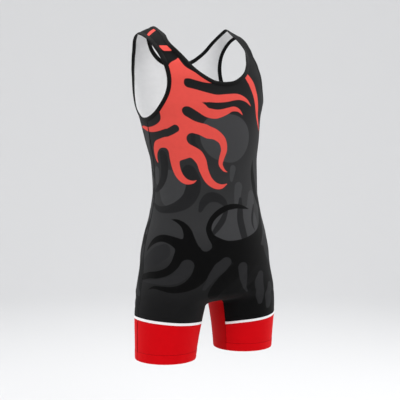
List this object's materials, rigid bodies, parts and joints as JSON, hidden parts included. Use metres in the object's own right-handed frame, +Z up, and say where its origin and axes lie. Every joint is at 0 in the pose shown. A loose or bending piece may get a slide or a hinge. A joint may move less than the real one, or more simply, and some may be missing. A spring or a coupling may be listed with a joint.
{
  "type": "wrestling singlet",
  "caption": "One-piece sleeveless tight sports suit with shoulder straps, scooped neck, deep armholes and short legs, filled out as worn and hollow inside.",
  "frame": {"origin": "midway between the tops of the two shoulder straps, at the height of the tops and in line with them front to back", "axes": "+Z up along the wearer's body, +X towards the wearer's left, and the front of the garment faces -Y"},
  "size_m": [0.3977, 0.2707, 0.8224],
  "materials": {
    "body_print": "smooth matte stretch knit, charcoal and black with a coral flame print; light grey inside",
    "trim_black": "folded elastic edge binding, matte black",
    "stripe_white": "smooth matte stretch knit, white",
    "band_red": "smooth matte stretch knit, bright red"
  },
  "bodies": {
    "root": {"front_panel": "body_print", "back_panel": "body_print", "gusset": "band_red", "binding_neck": "trim_black", "binding_arm_left": "trim_black", "binding_arm_right": "trim_black", "stripe_left": "stripe_white", "stripe_right": "stripe_white", "band_left": "band_red", "band_right": "band_red"}
  },
  "joints": []
}
